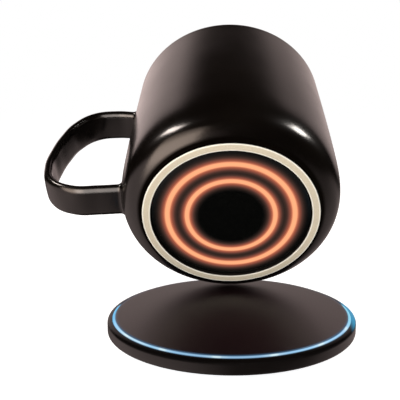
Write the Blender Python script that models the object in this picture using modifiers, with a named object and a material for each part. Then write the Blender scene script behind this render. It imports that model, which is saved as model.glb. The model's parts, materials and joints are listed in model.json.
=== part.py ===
"""Self heating mug tipped back on its heel, on its round wireless heating base.

The origin is the centre of the base's underside, +Z is up and +Y is the side that the mug
leans to. The mug's pieces are modelled upright around the centre of the foot, and an empty
on the axis that the mug tips about carries them all.
"""

import math

import bmesh
import bpy
from mathutils import Matrix, Vector

MM = 0.001
GAP = 0.3 * MM
MERGE = 0.01 * MM

# Driving dimensions of the mug
MUG_RADIUS = 47.0 * MM
MUG_HEIGHT = 89.9 * MM
RIM_RADIUS = 46.0 * MM
WALL = 4.3 * MM
HEEL_HEIGHT = 25.2 * MM
FOOT_OUTER = 36.7 * MM
FOOT_INNER = 33.2 * MM
FLOOR_TOP = 18.7 * MM
CAVITY_TOP = 14.1 * MM
TIP_ANGLE = math.radians(60.5)
TIPPED_FOOT_Y = 9.9 * MM

# Driving dimensions of the handle, a strap in the plane of the mug's axis
STRAP_WIDTH = 15.3 * MM
STRAP_THICKNESS = 4.0 * MM
STRAP_EDGE_RADIUS = 1.9 * MM
STRAP_REACH_AND_HEIGHT = [
    (44.3 * MM, 71.7 * MM),
    (55.4 * MM, 73.0 * MM),
    (66.3 * MM, 70.6 * MM),
    (73.9 * MM, 62.1 * MM),
    (77.7 * MM, 51.3 * MM),
    (79.7 * MM, 40.1 * MM),
    (80.1 * MM, 28.5 * MM),
    (76.5 * MM, 17.7 * MM),
    (67.2 * MM, 12.2 * MM),
    (55.6 * MM, 12.2 * MM),
    (44.3 * MM, 13.3 * MM),
]

# Driving dimensions of the base
BASE_RADIUS = 49.5 * MM
BASE_HEIGHT = 6.75 * MM
PAD_RADIUS = 46.6 * MM
PAD_HEIGHT = 0.9 * MM
HOUSING_BOTTOM = 0.5 * MM
FLOOR_BOTTOM = 1.2 * MM
FLOOR_HEIGHT = 2.0 * MM
PLATE_BOTTOM = 5.0 * MM
PLATE_RADIUS = 46.45 * MM
LIGHT_OUTER = 47.45 * MM
LIGHT_SLOPE = 0.5 * MM
SCREW_CIRCLE = 34.7 * MM
POST_RADIUS = 2.7 * MM
LED_CIRCLE = 45.4 * MM
LED_PLACES = 15
LED_START = math.radians(-145.0)

# The coils, one in the base and one in the mug
COIL_INNER = 12.0 * MM
COIL_PITCH = 1.5 * MM
COIL_TURNS = 7
WIRE_RADIUS = 0.45 * MM

FINE = 40
COARSE = 28


def clear_scene():
    for item in list(bpy.data.objects):
        bpy.data.objects.remove(item, do_unlink=True)


def new_collection(name):
    group = bpy.data.collections.new(name)
    bpy.context.scene.collection.children.link(group)
    return group


clear_scene()
PARTS = new_collection("self_heating_mug")
CUTTERS = new_collection("cutters")


def new_material(name, color, roughness, metallic=0.0, emission=0.0):
    material = bpy.data.materials.new(name)
    material.use_nodes = True
    surface = material.node_tree.nodes["Principled BSDF"]
    surface.inputs["Base Color"].default_value = (*color, 1.0)
    surface.inputs["Roughness"].default_value = roughness
    surface.inputs["Metallic"].default_value = metallic
    surface.inputs["Emission Color"].default_value = (*color, 1.0)
    surface.inputs["Emission Strength"].default_value = emission
    material.diffuse_color = (*color, 1.0)
    return material


GLAZE = new_material("dark_brown_glaze", (0.020, 0.015, 0.013), 0.22)
CREAM_RUBBER = new_material("cream_silicone", (0.66, 0.57, 0.42), 0.55)
GLOSS_BLACK = new_material("smoked_black_plastic", (0.004, 0.005, 0.005), 0.15)
ORANGE_GLOW = new_material("orange_light_ring", (0.98, 0.42, 0.18), 0.4, emission=2.0)
BLUE_GLOW = new_material("blue_light_guide", (0.30, 0.62, 0.95), 0.3, emission=1.2)
SATIN_BROWN = new_material("satin_dark_top", (0.035, 0.028, 0.027), 0.32)
SATIN_GREY = new_material("satin_dark_housing", (0.045, 0.040, 0.037), 0.38)
BLACK_RUBBER = new_material("black_silicone", (0.012, 0.012, 0.012), 0.75)
COPPER = new_material("enamelled_copper", (0.72, 0.33, 0.14), 0.3, metallic=1.0)
FERRITE = new_material("grey_ferrite", (0.07, 0.07, 0.075), 0.6)
CIRCUIT = new_material("green_circuit_board", (0.02, 0.16, 0.07), 0.4)
CHIP_BLACK = new_material("black_chip", (0.015, 0.015, 0.016), 0.45)
STEEL = new_material("bright_steel", (0.62, 0.62, 0.64), 0.25, metallic=1.0)
ALUMINIUM = new_material("brushed_aluminium", (0.80, 0.81, 0.82), 0.35, metallic=1.0)
FOIL = new_material("amber_heater_film", (0.60, 0.24, 0.05), 0.35)
GREY_FOAM = new_material("grey_insulating_foam", (0.42, 0.42, 0.43), 0.9)
LED_WHITE = new_material("white_led_body", (0.85, 0.85, 0.80), 0.4)
CAPACITOR_TAN = new_material("tan_capacitor", (0.45, 0.30, 0.16), 0.4)
RED_SEAL = new_material("red_silicone_seal", (0.45, 0.07, 0.05), 0.6)


def place(item, parent, location=(0.0, 0.0, 0.0), rotation=(0.0, 0.0, 0.0)):
    item.parent = parent
    item.location = location
    item.rotation_euler = rotation
    return item


def new_object(name, data, material, cutter=False):
    item = bpy.data.objects.new(name, data)
    (CUTTERS if cutter else PARTS).objects.link(item)
    if material is not None:
        data.materials.append(material)
    if cutter:
        item.hide_render = True
        item.display_type = "WIRE"
    return item


def rounded(corners, steps=2):
    """Outline through corners of (x, z, radius), with an arc at each one that has a radius."""
    outline = []
    for index, (x, z, radius) in enumerate(corners):
        corner = Vector((x, z))
        if radius == 0.0:
            outline.append(corner)
            continue
        following = corners[(index + 1) % len(corners)]
        back = (Vector(corners[index - 1][:2]) - corner).normalized()
        ahead = (Vector(following[:2]) - corner).normalized()
        angle = back.angle(ahead)
        centre = corner + (back + ahead).normalized() * radius / math.sin(angle / 2)
        start = corner + back * radius / math.tan(angle / 2) - centre
        end = corner + ahead * radius / math.tan(angle / 2) - centre
        sweep = math.pi - angle
        for step in range(steps + 1):
            share = step / steps
            spoke = start * math.sin((1 - share) * sweep) + end * math.sin(share * sweep)
            outline.append(centre + spoke / math.sin(sweep))
    return outline


def bezier(first, first_handle, second_handle, second, steps):
    """Points along one cubic curve, without its first one."""
    points = []
    for step in range(1, steps + 1):
        t = step / steps
        weights = ((1 - t) ** 3, 3 * t * (1 - t) ** 2, 3 * t * t * (1 - t), t ** 3)
        corners = (first, first_handle, second_handle, second)
        points.append(sum((Vector(c) * w for c, w in zip(corners, weights)), Vector((0, 0))))
    return points


def turned(name, outline, material, segments=FINE, closed=True, cutter=False):
    """Solid turned about +Z from an outline of (x, z) that runs down its outer side."""
    mesh = bpy.data.meshes.new(name)
    edges = [(index, index + 1) for index in range(len(outline) - 1)]
    if closed:
        edges.append((len(outline) - 1, 0))
    mesh.from_pydata([(x, 0.0, z) for x, z in outline], edges, [])
    item = new_object(name, mesh, material, cutter)
    screw = item.modifiers.new("turn", "SCREW")
    screw.axis = "Z"
    screw.angle = math.tau
    screw.steps = segments
    screw.render_steps = segments
    screw.use_merge_vertices = True
    screw.merge_threshold = MERGE
    screw.use_smooth_shade = False
    return item


def ring(name, inner, outer, bottom, top, material, bevel=0.0, segments=FINE):
    corners = [(outer, top, bevel), (outer, bottom, bevel), (inner, bottom, bevel), (inner, top, bevel)]
    return turned(name, rounded(corners, 1), material, segments)


def disc(name, radius, bottom, top, material, bevel=0.0, segments=FINE, cutter=False):
    corners = [(0.0, top, 0.0), (radius, top, bevel), (radius, bottom, bevel), (0.0, bottom, 0.0)]
    return turned(name, rounded(corners, 2), material, segments, closed=False, cutter=cutter)


def round_cutter(name, radius, bottom, top):
    """Short cylinder that a post, hole or bore is made with."""
    return disc(name, radius, bottom, top, None, segments=16, cutter=True)


def block(name, size, material, bevel=0.0, bevel_steps=1, cutter=False):
    """Box of the given size around its own origin, with its edges rounded."""
    mesh = bpy.data.meshes.new(name)
    shape = bmesh.new()
    bmesh.ops.create_cube(shape, size=1.0, matrix=Matrix.Diagonal((*size, 1.0)))
    shape.to_mesh(mesh)
    shape.free()
    item = new_object(name, mesh, material, cutter)
    if bevel:
        edge = item.modifiers.new("edges", "BEVEL")
        edge.width = bevel
        edge.segments = bevel_steps
    return item


def cut(item, cutter, operation="DIFFERENCE"):
    boolean = item.modifiers.new(cutter.name, "BOOLEAN")
    boolean.object = cutter
    boolean.operation = operation
    boolean.solver = "EXACT"


def around(count, radius, start=0.0):
    """Places on a circle, each as a location and the angle that it stands at."""
    for index in range(count):
        angle = start + math.tau * index / count
        yield Vector((radius * math.cos(angle), radius * math.sin(angle), 0.0)), angle


def flat_coil(name, material):
    """Flat spiral winding of round wire, centred on its own origin."""
    points_per_turn = 16
    count = COIL_TURNS * points_per_turn + 1
    curve = bpy.data.curves.new(name, "CURVE")
    curve.dimensions = "3D"
    curve.bevel_depth = WIRE_RADIUS
    curve.bevel_resolution = 1
    curve.use_fill_caps = True
    spline = curve.splines.new("POLY")
    spline.points.add(count - 1)
    for index, point in enumerate(spline.points):
        turn = index / points_per_turn
        radius = COIL_INNER + COIL_PITCH * turn
        angle = math.tau * turn
        point.co = (radius * math.cos(angle), radius * math.sin(angle), 0.0, 1.0)
    winding = new_object(name + "_wire", curve, None)
    return solid_from_curve(winding, name, material)


def solid_from_curve(item, name, material):
    """Mesh of a curve with its end caps welded on; the curve is removed."""
    bpy.context.view_layer.update()
    evaluated = item.evaluated_get(bpy.context.evaluated_depsgraph_get())
    mesh = bpy.data.meshes.new_from_object(evaluated)
    shape = bmesh.new()
    shape.from_mesh(mesh)
    bmesh.ops.remove_doubles(shape, verts=shape.verts, dist=MERGE)
    bmesh.ops.recalc_face_normals(shape, faces=shape.faces)
    shape.to_mesh(mesh)
    shape.free()
    mesh.name = name
    mesh.materials.clear()
    solid = new_object(name, mesh, material)
    solid.matrix_world = item.matrix_world
    bpy.data.objects.remove(item, do_unlink=True)
    return solid


# The mug's outer wall, as (radius, height) from the rim down to the foot ring

HEEL_TOP = (MUG_RADIUS, HEEL_HEIGHT)
HEEL_NECK = (FOOT_OUTER + 1.2 * MM, 1.9 * MM)
HEEL_EDGE = (FOOT_OUTER + 0.9 * MM, 0.3 * MM)


def heel_outline(steps):
    """The rounded heel from its top to the neck over the foot."""
    return bezier(HEEL_TOP, (MUG_RADIUS, 8.6 * MM), (46.1 * MM, 4.6 * MM), HEEL_NECK, steps)


def wall_outline(offset=0.0):
    """Outer wall from just under the lip to the edge of the foot, moved out by an offset."""
    lip = (RIM_RADIUS, MUG_HEIGHT - WALL / 2)
    wall = [Vector(lip)]
    wall += bezier(lip, (46.5 * MM, 67.0 * MM), (MUG_RADIUS, 46.0 * MM), HEEL_TOP, 4)
    wall += heel_outline(9)
    wall.append(Vector(HEEL_EDGE))
    if offset == 0.0:
        return wall
    moved = []
    for index, point in enumerate(wall):
        ahead = wall[min(index + 1, len(wall) - 1)] - wall[max(index - 1, 0)]
        outward = Vector((-ahead.y, ahead.x)).normalized()
        moved.append(point + outward * offset)
    return moved


def tipped_drop():
    """How far the lowest point of the tipped heel lies below the centre of the foot."""
    return max(r * math.sin(TIP_ANGLE) - h * math.cos(TIP_ANGLE) for r, h in heel_outline(200))


def tip_pivot():
    """Axis that seats the mug centred on the base, as its reach behind and height over the foot."""
    sine = math.sin(TIP_ANGLE)
    versine = 1.0 - math.cos(TIP_ANGLE)
    drop = tipped_drop()
    scale = versine * versine + sine * sine
    reach = (TIPPED_FOOT_Y * versine + drop * sine) / scale
    height = (drop * versine - TIPPED_FOOT_Y * sine) / scale
    return reach, height


PIVOT_REACH, PIVOT_HEIGHT = tip_pivot()
PIVOT = Vector((0.0, PIVOT_REACH, BASE_HEIGHT + GAP + PIVOT_HEIGHT))
FOOT_FROM_PIVOT = Vector((0.0, -PIVOT_REACH, -PIVOT_HEIGHT))

mug_tip_axis = bpy.data.objects.new("mug_tip_axis", None)
PARTS.objects.link(mug_tip_axis)
place(mug_tip_axis, None, PIVOT, (-TIP_ANGLE, 0.0, 0.0))

base_origin = bpy.data.objects.new("base_origin", None)
PARTS.objects.link(base_origin)


def in_mug(item, location=(0.0, 0.0, 0.0), rotation=(0.0, 0.0, 0.0)):
    return place(item, mug_tip_axis, FOOT_FROM_PIVOT + Vector(location), rotation)


def in_base(item, location=(0.0, 0.0, 0.0), rotation=(0.0, 0.0, 0.0)):
    return place(item, base_origin, location, rotation)


# Mug: heights are above the plane of the foot ring

GROOVE_TOP = 2.5 * MM
COVER_BOTTOM = 1.2 * MM
COVER_TOP = 3.4 * MM
LEDGE_HEIGHT = 4.7 * MM
COVER_BORE = FOOT_INNER + 0.2 * MM
CAVITY_RADIUS = 31.6 * MM
COVER_RADIUS = FOOT_INNER - GAP
OUTER_GLOW_RADIUS = 26.4 * MM
INNER_GLOW_RADIUS = 18.2 * MM
GLOW_WIDTH = 3.0 * MM
GLOW_DEPTH = 0.9 * MM


def make_mug_body():
    inner = RIM_RADIUS - WALL
    corners = [
        (0.0, FLOOR_TOP, 0.0),
        (inner, FLOOR_TOP, 11.0 * MM),
        (inner, MUG_HEIGHT, 1.6 * MM),
        (RIM_RADIUS, MUG_HEIGHT, 1.6 * MM),
        (RIM_RADIUS, MUG_HEIGHT - WALL / 2, 0.0),
    ]
    inside = rounded(corners, 4)[:-1]
    underside = [
        (FOOT_OUTER + GAP, GROOVE_TOP),
        (COVER_BORE, GROOVE_TOP),
        (COVER_BORE, LEDGE_HEIGHT),
        (CAVITY_RADIUS, LEDGE_HEIGHT),
        (CAVITY_RADIUS, CAVITY_TOP),
        (0.0, CAVITY_TOP),
    ]
    outline = inside + wall_outline() + [Vector(point) for point in underside]
    in_mug(turned("mug_body", outline, GLAZE, closed=False))


def make_handle():
    section = bpy.data.curves.new("strap_section", "CURVE")
    section.dimensions = "2D"
    half_thickness = STRAP_THICKNESS / 2
    half_width = STRAP_WIDTH / 2
    corners = [
        (half_thickness, half_width, STRAP_EDGE_RADIUS),
        (-half_thickness, half_width, STRAP_EDGE_RADIUS),
        (-half_thickness, -half_width, STRAP_EDGE_RADIUS),
        (half_thickness, -half_width, STRAP_EDGE_RADIUS),
    ]
    outline = rounded(corners, 3)
    edge = section.splines.new("POLY")
    edge.points.add(len(outline) - 1)
    for point, (x, y) in zip(edge.points, outline):
        point.co = (x, y, 0.0, 1.0)
    edge.use_cyclic_u = True
    section_object = new_object("strap_section", section, None, cutter=True)

    strap = bpy.data.curves.new("strap", "CURVE")
    strap.dimensions = "3D"
    strap.twist_mode = "Z_UP"
    strap.bevel_mode = "OBJECT"
    strap.bevel_object = section_object
    strap.use_fill_caps = True
    strap.resolution_u = 4
    spline = strap.splines.new("BEZIER")
    spline.bezier_points.add(len(STRAP_REACH_AND_HEIGHT) - 1)
    for point, (reach, height) in zip(spline.bezier_points, STRAP_REACH_AND_HEIGHT):
        point.co = (reach, height, 0.0)
        point.handle_left_type = "AUTO"
        point.handle_right_type = "AUTO"
    centre_line = new_object("strap", strap, None)
    in_mug(centre_line, rotation=(math.pi / 2, 0.0, math.pi))
    handle = solid_from_curve(centre_line, "handle", GLAZE)
    bpy.data.objects.remove(section_object, do_unlink=True)

    core = wall_outline(GAP)
    outline = [Vector((0.0, core[0].y))] + core + [Vector((0.0, core[-1].y))]
    trim = turned("handle_trim", outline, None, closed=False, cutter=True)
    in_mug(trim)
    cut(handle, trim)
    handle.parent = mug_tip_axis
    handle.matrix_parent_inverse = mug_tip_matrix().inverted()


def mug_tip_matrix():
    return Matrix.Translation(PIVOT) @ Matrix.Rotation(-TIP_ANGLE, 4, "X")


def make_foot():
    bevel = 0.3 * MM
    in_mug(ring("foot_ring", FOOT_INNER, FOOT_OUTER, 0.0, GROOVE_TOP - GAP, CREAM_RUBBER, bevel))


def make_bottom_cover():
    depth = COVER_BOTTOM + GLOW_DEPTH + GAP
    half = GLOW_WIDTH / 2 + GAP
    outline = [Vector((0.0, COVER_TOP)), Vector((COVER_RADIUS, COVER_TOP))]
    outline.append(Vector((COVER_RADIUS, COVER_BOTTOM)))
    for radius in (OUTER_GLOW_RADIUS, INNER_GLOW_RADIUS):
        outline += [
            Vector((radius + half, COVER_BOTTOM)),
            Vector((radius + half, depth)),
            Vector((radius - half, depth)),
            Vector((radius - half, COVER_BOTTOM)),
        ]
    outline.append(Vector((0.0, COVER_BOTTOM)))
    in_mug(turned("bottom_cover", outline, GLOSS_BLACK, closed=False))
    for name, radius in (("outer_glow_ring", OUTER_GLOW_RADIUS), ("inner_glow_ring", INNER_GLOW_RADIUS)):
        inner = radius - GLOW_WIDTH / 2
        outer = radius + GLOW_WIDTH / 2
        in_mug(ring(name, inner, outer, COVER_BOTTOM, COVER_BOTTOM + GLOW_DEPTH, ORANGE_GLOW))
    seal_top = LEDGE_HEIGHT - GAP
    in_mug(ring("cover_seal", CAVITY_RADIUS + GAP, COVER_RADIUS, COVER_TOP + GAP, seal_top, RED_SEAL))


def make_mug_electronics():
    coil_height = COVER_TOP + GAP + WIRE_RADIUS
    in_mug(flat_coil("receiver_coil", COPPER), (0.0, 0.0, coil_height))
    ferrite_bottom = coil_height + WIRE_RADIUS + GAP
    ferrite_top = ferrite_bottom + 0.8 * MM
    in_mug(disc("receiver_ferrite", 24.0 * MM, ferrite_bottom, ferrite_top, FERRITE, segments=COARSE))
    board_bottom = ferrite_top + GAP
    board_top = board_bottom + 1.0 * MM
    in_mug(disc("receiver_board", 30.4 * MM, board_bottom, board_top, CIRCUIT))

    chip_floor = board_top + GAP
    chips = [
        ("rectifier_chip", (5.0 * MM, 5.0 * MM, 0.9 * MM), (10.0 * MM, -6.0 * MM)),
        ("control_chip", (6.0 * MM, 6.0 * MM, 0.9 * MM), (-9.0 * MM, 4.0 * MM)),
    ]
    for name, size, (x, y) in chips:
        in_mug(block(name, size, CHIP_BLACK, 0.15 * MM), (x, y, chip_floor + size[2] / 2))
    bead = block("thermistor", (2.0 * MM, 1.2 * MM, 0.9 * MM), LED_WHITE, 0.2 * MM)
    in_mug(bead, (2.0 * MM, 14.0 * MM, chip_floor + 0.45 * MM))

    led_size = (1.6 * MM, 2.8 * MM, 0.8 * MM)
    for index, (spot, angle) in enumerate(around(4, OUTER_GLOW_RADIUS, math.radians(45.0)), 1):
        led = block(f"ring_led_{index}", led_size, LED_WHITE, 0.1 * MM)
        spot.z = board_bottom - GAP - led_size[2] / 2
        in_mug(led, spot, (0.0, 0.0, angle))

    pad_bottom = chip_floor + 0.9 * MM + GAP
    pad_top = pad_bottom + 2.0 * MM
    in_mug(disc("insulating_pad", 30.6 * MM, pad_bottom, pad_top, GREY_FOAM, segments=COARSE))
    heater_bottom = pad_top + GAP
    heater_top = heater_bottom + 0.5 * MM
    in_mug(disc("heating_element", 29.0 * MM, heater_bottom, heater_top, FOIL, segments=COARSE))
    spreader_bottom = heater_top + GAP
    in_mug(disc("heat_spreader", 30.9 * MM, spreader_bottom, CAVITY_TOP - GAP, ALUMINIUM))


# Base: heights are above the surface that it stands on

SOCKET_WIDTH = 8.9 * MM
SOCKET_DEPTH = 7.3 * MM
SOCKET_HEIGHT = 3.0 * MM
SOCKET_BOTTOM = 1.7 * MM
SOCKET_FACE_Y = 48.9 * MM
BOARD_BOTTOM = 2.3 * MM
BOARD_TOP = 3.1 * MM
BOARD_INNER = 24.6 * MM
BOARD_OUTER = 47.0 * MM
POST_TOP = 2.9 * MM
SCREW_HOLE = 1.1 * MM
LIGHT_TOP = BASE_HEIGHT - 0.1 * MM
LIP_TOP = LIGHT_TOP - LIGHT_SLOPE - 0.05 * MM
PLATE_STEP = 44.3 * MM
FOUR_CORNERS = math.radians(45.0)


def socket_opening(name):
    size = (SOCKET_WIDTH + 2 * GAP, 12.0 * MM, SOCKET_HEIGHT + 2 * GAP)
    opening = block(name, size, None, cutter=True)
    centre_y = SOCKET_FACE_Y - SOCKET_DEPTH - GAP + size[1] / 2
    return in_base(opening, (0.0, centre_y, SOCKET_BOTTOM + SOCKET_HEIGHT / 2))


def make_lower_housing():
    lip_inner = LIGHT_OUTER + GAP
    ledge = 4.3 * MM
    shoulder = (lip_inner + 0.3 * MM, LIP_TOP - 0.05 * MM)
    inside = [
        (0.0, 2.6 * MM),
        (24.2 * MM, 2.6 * MM),
        (24.2 * MM, FLOOR_HEIGHT),
        (BOARD_OUTER + GAP, FLOOR_HEIGHT),
        (BOARD_OUTER + GAP, ledge),
        (lip_inner, ledge),
        (lip_inner, LIP_TOP),
        shoulder,
    ]
    wall_top = (BASE_RADIUS, 4.4 * MM)
    wall_bottom = (BASE_RADIUS, 1.6 * MM)
    skirt = (48.1 * MM, HOUSING_BOTTOM)
    side = bezier(shoulder, (48.9 * MM, LIP_TOP - 0.2 * MM), (BASE_RADIUS, 5.4 * MM), wall_top, 4)
    side.append(Vector(wall_bottom))
    side += bezier(wall_bottom, (BASE_RADIUS, 1.0 * MM), (48.9 * MM, 0.6 * MM), skirt, 3)
    underside = [
        (PAD_RADIUS + GAP, HOUSING_BOTTOM),
        (PAD_RADIUS + GAP, FLOOR_BOTTOM),
        (0.0, FLOOR_BOTTOM),
    ]
    outline = [Vector(point) for point in inside] + side + [Vector(point) for point in underside]
    housing = in_base(turned("base_lower_housing", outline, SATIN_GREY, closed=False))

    head_room = 2.2 * MM
    bore = [
        (0.0, 3.5 * MM),
        (SCREW_HOLE, 3.5 * MM),
        (SCREW_HOLE, head_room),
        (2.1 * MM, head_room),
        (2.1 * MM, 0.0),
        (0.0, 0.0),
    ]
    for index, (spot, _) in enumerate(around(4, SCREW_CIRCLE, FOUR_CORNERS), 1):
        post = round_cutter(f"floor_post_{index}", POST_RADIUS, 1.6 * MM, POST_TOP)
        cut(housing, in_base(post, spot), "UNION")
        hole = [Vector(point) for point in bore]
        drill = turned(f"screw_bore_{index}", hole, None, 16, closed=False, cutter=True)
        cut(housing, in_base(drill, spot))
    cut(housing, socket_opening("housing_socket_opening"))


def make_top_plate():
    rebate = 5.6 * MM
    corners = [
        (0.0, BASE_HEIGHT, 0.0),
        (PLATE_RADIUS, BASE_HEIGHT, 0.25 * MM),
        (PLATE_RADIUS, rebate, 0.0),
        (PLATE_STEP, rebate, 0.0),
        (PLATE_STEP, PLATE_BOTTOM, 0.0),
        (0.0, PLATE_BOTTOM, 0.0),
    ]
    plate = in_base(turned("base_top_plate", rounded(corners), SATIN_BROWN, closed=False))
    for index, (spot, _) in enumerate(around(4, SCREW_CIRCLE, FOUR_CORNERS), 1):
        boss = round_cutter(f"plate_boss_{index}", POST_RADIUS, POST_TOP + GAP, 5.3 * MM)
        cut(plate, in_base(boss, spot), "UNION")
        bore = round_cutter(f"boss_bore_{index}", SCREW_HOLE, 2.0 * MM, 5.6 * MM)
        cut(plate, in_base(bore, spot))


def clear_of_socket(spot):
    """Whether a light chip there stands clear of the power socket."""
    return spot.y < 0.0 or abs(spot.x) > SOCKET_WIDTH


def make_light_ring():
    flange_inner = PLATE_STEP + GAP
    flange_bottom = 4.6 * MM
    flange_top = 5.3 * MM
    face_inner = PLATE_RADIUS + GAP
    corners = [
        (face_inner, LIGHT_TOP),
        (LIGHT_OUTER, LIGHT_TOP - LIGHT_SLOPE),
        (LIGHT_OUTER, flange_bottom),
        (flange_inner, flange_bottom),
        (flange_inner, flange_top),
        (face_inner, flange_top),
    ]
    light = in_base(turned("base_light_ring", [Vector(corner) for corner in corners], BLUE_GLOW))
    cut(light, socket_opening("light_socket_opening"))
    size = (1.4 * MM, 2.8 * MM, 0.9 * MM)
    stands = [item for item in around(LED_PLACES, LED_CIRCLE, LED_START) if clear_of_socket(item[0])]
    for index, (spot, angle) in enumerate(stands, 1):
        led = block(f"led_chip_{index}", size, LED_WHITE, 0.1 * MM)
        spot.z = BOARD_TOP + GAP + size[2] / 2
        in_base(led, spot, (0.0, 0.0, angle))


def make_base_pad():
    in_base(disc("anti_slip_pad", PAD_RADIUS, 0.0, PAD_HEIGHT, BLACK_RUBBER, 0.25 * MM))


def make_base_electronics():
    ferrite_bottom = 2.6 * MM + GAP
    ferrite_top = ferrite_bottom + 0.6 * MM
    in_base(disc("transmitter_ferrite", 23.6 * MM, ferrite_bottom, ferrite_top, FERRITE, segments=COARSE))
    coil_height = ferrite_top + GAP + WIRE_RADIUS
    in_base(flat_coil("transmitter_coil", COPPER), (0.0, 0.0, coil_height))

    board = ring("control_board", BOARD_INNER, BOARD_OUTER, BOARD_BOTTOM, BOARD_TOP, CIRCUIT)
    in_base(board)
    for index, (spot, _) in enumerate(around(4, SCREW_CIRCLE, FOUR_CORNERS), 1):
        hole = round_cutter(f"board_hole_{index}", POST_RADIUS + GAP, 1.0 * MM, 4.0 * MM)
        cut(board, in_base(hole, spot))
    cut(board, socket_opening("board_socket_notch"))

    chip_floor = BOARD_TOP + GAP
    pieces = [
        ("driver_chip", (6.0 * MM, 6.0 * MM, 0.9 * MM), (9.0 * MM, 33.0 * MM), CHIP_BLACK),
        ("power_inductor", (5.0 * MM, 5.0 * MM, 1.3 * MM), (-9.5 * MM, 33.5 * MM), FERRITE),
        ("capacitor_1", (3.2 * MM, 2.5 * MM, 1.3 * MM), (-1.5 * MM, 34.5 * MM), CAPACITOR_TAN),
        ("capacitor_2", (3.2 * MM, 2.5 * MM, 1.3 * MM), (-1.5 * MM, 30.5 * MM), CAPACITOR_TAN),
    ]
    for name, size, (x, y), material in pieces:
        in_base(block(name, size, material, 0.2 * MM), (x, y, chip_floor + size[2] / 2))


def make_usb_socket():
    """Hollow metal shell, open at the back of the base, with the contact tongue inside it."""
    centre = (0.0, SOCKET_FACE_Y - SOCKET_DEPTH / 2, SOCKET_BOTTOM + SOCKET_HEIGHT / 2)
    size = (SOCKET_WIDTH, SOCKET_DEPTH, SOCKET_HEIGHT)
    shell = in_base(block("usb_c_socket", size, STEEL), centre)
    round_long_edges(shell, 1.3 * MM)

    wall = 0.35 * MM
    hollow_size = (SOCKET_WIDTH - 2 * wall, SOCKET_DEPTH, SOCKET_HEIGHT - 2 * wall)
    hollow = block("socket_hollow", hollow_size, None, cutter=True)
    in_base(hollow, (centre[0], centre[1] + 1.0 * MM, centre[2]))
    round_long_edges(hollow, 1.0 * MM)
    cut(shell, hollow)

    tongue = block("socket_tongue", (6.2 * MM, 5.4 * MM, 0.7 * MM), None, cutter=True)
    in_base(tongue, (centre[0], centre[1] - SOCKET_DEPTH / 2 + 0.5 * MM + 2.7 * MM, centre[2]))
    cut(shell, tongue, "UNION")


def round_long_edges(item, radius):
    """Round the four edges that run front to back."""
    shape = bmesh.new()
    shape.from_mesh(item.data)
    edges = []
    for edge in shape.edges:
        direction = edge.verts[0].co - edge.verts[1].co
        if abs(direction.y) > 0.9 * direction.length:
            edges.append(edge)
    bmesh.ops.bevel(shape, geom=edges, offset=radius, segments=3, profile=0.5, affect="EDGES")
    shape.to_mesh(item.data)
    shape.free()


def make_housing_screws():
    head_bottom = 1.3 * MM
    head_top = 1.9 * MM
    shaft_radius = SCREW_HOLE - GAP
    outline = [
        Vector((0.0, 5.2 * MM)),
        Vector((shaft_radius, 5.2 * MM)),
        Vector((shaft_radius, head_top)),
        Vector((1.7 * MM, head_top)),
        Vector((1.8 * MM, head_top - 0.3 * MM)),
        Vector((1.4 * MM, head_bottom)),
        Vector((0.0, head_bottom)),
    ]
    for index, (spot, _) in enumerate(around(4, SCREW_CIRCLE, FOUR_CORNERS), 1):
        screw = turned(f"housing_screw_{index}", outline, STEEL, 12, closed=False)
        in_base(screw, spot)


make_mug_body()
make_handle()
make_foot()
make_bottom_cover()
make_mug_electronics()
make_base_pad()
make_lower_housing()
make_top_plate()
make_light_ring()
make_base_electronics()
make_usb_socket()
make_housing_screws()
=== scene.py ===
"""Looks of a self heating mug tipped back on its heel, on its round wireless heating base.

Lengths are in metres in the frame's own axes: +Z is up and the camera looks along +Y. The mug's
pieces are meshed upright around the centre of the foot, then set in the tilted place that the
frame gives them. The base's pieces are meshed where they stand.
"""

import json
import math

import bmesh
import bpy
from mathutils import Matrix, Vector


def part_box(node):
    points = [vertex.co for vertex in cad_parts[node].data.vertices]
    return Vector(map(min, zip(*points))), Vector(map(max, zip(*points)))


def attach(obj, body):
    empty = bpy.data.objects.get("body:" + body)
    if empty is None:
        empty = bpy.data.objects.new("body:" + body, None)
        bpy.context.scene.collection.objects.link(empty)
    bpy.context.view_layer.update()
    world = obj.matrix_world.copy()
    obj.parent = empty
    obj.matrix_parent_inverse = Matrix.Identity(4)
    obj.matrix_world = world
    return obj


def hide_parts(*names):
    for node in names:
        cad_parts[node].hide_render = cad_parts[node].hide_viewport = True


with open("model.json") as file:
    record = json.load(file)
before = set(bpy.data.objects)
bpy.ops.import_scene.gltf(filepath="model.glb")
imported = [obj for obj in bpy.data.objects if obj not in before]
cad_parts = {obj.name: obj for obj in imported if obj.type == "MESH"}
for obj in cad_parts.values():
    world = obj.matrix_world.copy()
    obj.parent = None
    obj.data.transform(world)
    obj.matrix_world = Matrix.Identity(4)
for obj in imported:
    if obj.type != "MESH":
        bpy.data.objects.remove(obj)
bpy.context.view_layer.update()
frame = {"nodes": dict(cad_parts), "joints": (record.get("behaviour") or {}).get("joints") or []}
MM = 0.001

# Camera, fitted to the photograph, whose frame is 400 by 400 pixels
FRAME_PIXELS = 400.0
FOCAL_PIXELS = 640.0
PRINCIPAL_X = 221.5
SENSOR = 36.0
CAMERA_PLACE = (-0.0040, -0.2492, 0.0907)
CAMERA_PITCH = math.radians(8.84)

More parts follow.
